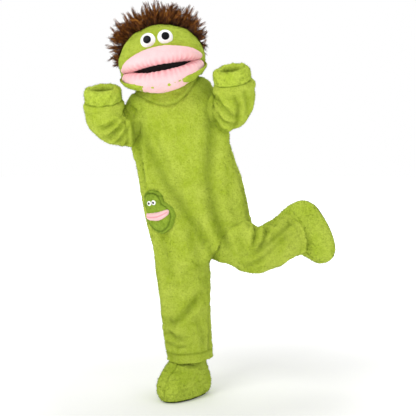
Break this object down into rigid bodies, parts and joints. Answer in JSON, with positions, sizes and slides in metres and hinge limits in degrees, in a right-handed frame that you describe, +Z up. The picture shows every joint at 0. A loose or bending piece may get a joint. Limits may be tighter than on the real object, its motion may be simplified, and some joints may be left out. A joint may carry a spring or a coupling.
{
  "type": "wearable moving-mouth puppet",
  "caption": "Full-body walk-around puppet: a fleece suit with padded cuffs and shoe covers, and a foam head with big padded lips whose jaw follows the wearer's chin.",
  "frame": {"origin": "middle of the wearer's pelvis, which carries the suit", "axes": "+Z up, the puppet faces -Y, its left side is +X; the trunk leans sideways as in the pose shown"},
  "size_m": [1.1284, 0.4252, 1.7402],
  "materials": {
    "fleece": "short-pile fleece, lime green",
    "plush": "plush, darker green",
    "lip_fabric": "soft padded knit, pale pink",
    "hair_fabric": "long-pile fur, brown",
    "eye_white": "glossy",
    "pupil_black": "glossy",
    "foam": "open-cell foam",
    "board": "black board",
    "mesh": "black see-through mesh",
    "elastic": "woven elastic",
    "harness": "moulded band with pads",
    "steel": "plain",
    "zip_metal": "coated",
    "zip_coil": "moulded teeth",
    "zip_fabric": "woven tape",
    "sole": "non-slip, fine pimples"
  },
  "bodies": {
    "suit": {"torso_front": "fleece", "torso_back_left": "fleece", "torso_back_right": "fleece", "neck_yoke": "fleece", "zip_tapes": "zip_fabric", "zip_teeth": "zip_coil", "pocket_pouch": "fleece", "pocket_body": "plush", "pocket_lips": "lip_fabric", "pocket_eyes": "eye_white", "shoulder_gusset_left": "fleece", "shoulder_gusset_right": "fleece", "hip_gusset_left": "fleece", "hip_gusset_right": "fleece"},
    "neck": {"neck_ring": "foam"},
    "head": {"head_shell": "foam", "nape_shell": "foam", "head_cover": "fleece", "hair_cap": "hair_fabric", "hair": "hair_fabric", "eye_left": "eye_white", "eye_right": "eye_white", "pupil_left": "pupil_black", "pupil_right": "pupil_black", "upper_lip": "lip_fabric", "palate_board": "board", "mouth_screen": "mesh", "hinge_brackets": "steel", "hinge_pins": "steel", "head_harness": "harness", "return_bands": "elastic"},
    "jaw": {"jaw_shell": "foam", "jaw_cover": "fleece", "jaw_frame": "board", "lower_lip": "lip_fabric", "chin_cup": "harness"},
    "zip_runner": {"zip_slider": "zip_metal"},
    "zip_tab": {"zip_pull": "zip_metal"},
    "upper_arm_left": {"sleeve_upper_left": "fleece", "elbow_gusset_left": "fleece"},
    "forearm_left": {"sleeve_lower_left": "fleece", "cuff_left": "fleece", "cuff_elastic_left": "elastic"},
    "thigh_left": {"leg_upper_left": "fleece", "knee_gusset_left": "fleece"},
    "shin_left": {"leg_lower_left": "fleece"},
    "foot_left": {"shoe_upper_left": "fleece", "shoe_sole_left": "sole", "shoe_elastic_left": "elastic"},
    "upper_arm_right": {"sleeve_upper_right": "fleece", "elbow_gusset_right": "fleece"},
    "forearm_right": {"sleeve_lower_right": "fleece", "cuff_right": "fleece", "cuff_elastic_right": "elastic"},
    "thigh_right": {"leg_upper_right": "fleece", "knee_gusset_right": "fleece"},
    "shin_right": {"leg_lower_right": "fleece"},
    "foot_right": {"shoe_upper_right": "fleece", "shoe_sole_right": "sole", "shoe_elastic_right": "elastic"}
  },
  "joints": [
    {"name": "head_turn", "type": "hinge", "parent": "suit", "child": "neck", "pos_m": [-0.14941, 0, 0.62232], "axis": [-0.2334, 0, 0.9724], "range_deg": [-5, 5]},
    {"name": "head_nod", "type": "hinge", "parent": "neck", "child": "head", "pos_m": [-0.15153, 0.01, 0.63004], "axis": [0.9816, 0, 0.1908], "range_deg": [-5, 3]},
    {"name": "jaw_open", "type": "hinge", "parent": "head", "child": "jaw", "pos_m": [-0.16069, -0.052, 0.67716], "axis": [0.9816, 0, 0.1908], "range_deg": [-4, 9], "stiffness_Nm_per_rad": 4, "springref_deg": -6.88, "deforming": ["mouth_screen", "return_bands"]},
    {"name": "shoulder_left", "type": "hinge", "parent": "suit", "child": "upper_arm_left", "pos_m": [0.06437, -0.0218, 0.48667], "axis": [0, 1, 0], "range_deg": [-4, 4], "deforming": ["shoulder_gusset_left"]},
    {"name": "elbow_left", "type": "hinge", "parent": "upper_arm_left", "child": "forearm_left", "pos_m": [0.12783, -0.05985, 0.4958], "axis": [0.4347, 0.8164, 0.3801], "range_deg": [-3, 14], "deforming": ["elbow_gusset_left"]},
    {"name": "shoulder_right", "type": "hinge", "parent": "suit", "child": "upper_arm_right", "pos_m": [-0.29287, -0.02002, 0.44038], "axis": [0, -1, 0], "range_deg": [-4, 4], "deforming": ["shoulder_gusset_right"]},
    {"name": "elbow_right", "type": "hinge", "parent": "upper_arm_right", "child": "forearm_right", "pos_m": [-0.37344, -0.05291, 0.43211], "axis": [0.387, -0.875, -0.2907], "range_deg": [-3, 14], "deforming": ["elbow_gusset_right"]},
    {"name": "hip_left", "type": "hinge", "parent": "suit", "child": "thigh_left", "pos_m": [0.14162, -0.096, -0.03388], "axis": [1, 0, 0], "range_deg": [-6, 8], "deforming": ["hip_gusset_left"]},
    {"name": "knee_left", "type": "hinge", "parent": "thigh_left", "child": "shin_left", "pos_m": [0.21741, -0.14141, -0.10107], "axis": [0.2285, -0.6675, 0.7087], "range_deg": [-14, 3], "deforming": ["knee_gusset_left"]},
    {"name": "ankle_left", "type": "hinge", "parent": "shin_left", "child": "foot_left", "pos_m": [0.37474, -0.03658, -0.04343], "axis": [0.4209, -0.7687, 0.4815], "range_deg": [-5, 5]},
    {"name": "hip_right", "type": "hinge", "parent": "suit", "child": "thigh_right", "pos_m": [-0.08455, 0, -0.11286], "axis": [1, 0, 0], "range_deg": [-8, 8], "deforming": ["hip_gusset_right"]},
    {"name": "knee_right", "type": "hinge", "parent": "thigh_right", "child": "shin_right", "pos_m": [-0.06175, 0.0024, -0.41534], "axis": [1, 0, 0], "range_deg": [0, 15], "deforming": ["knee_gusset_right"]},
    {"name": "ankle_right", "type": "hinge", "parent": "shin_right", "child": "foot_right", "pos_m": [-0.05455, 0.004, -0.607], "axis": [0.8829, -0.4695, 0], "range_deg": [-5, 5]},
    {"name": "zip_slide", "type": "slide", "parent": "suit", "child": "zip_runner", "axis": [0.2334, 0, -0.9724], "range_m": [0, 0.466]},
    {"name": "pull_swing", "type": "hinge", "parent": "zip_runner", "child": "zip_tab", "pos_m": [-0.11738, 0.1623, 0.48891], "axis": [0.9724, 0, 0.2334], "range_deg": [0, 30]}
  ]
}
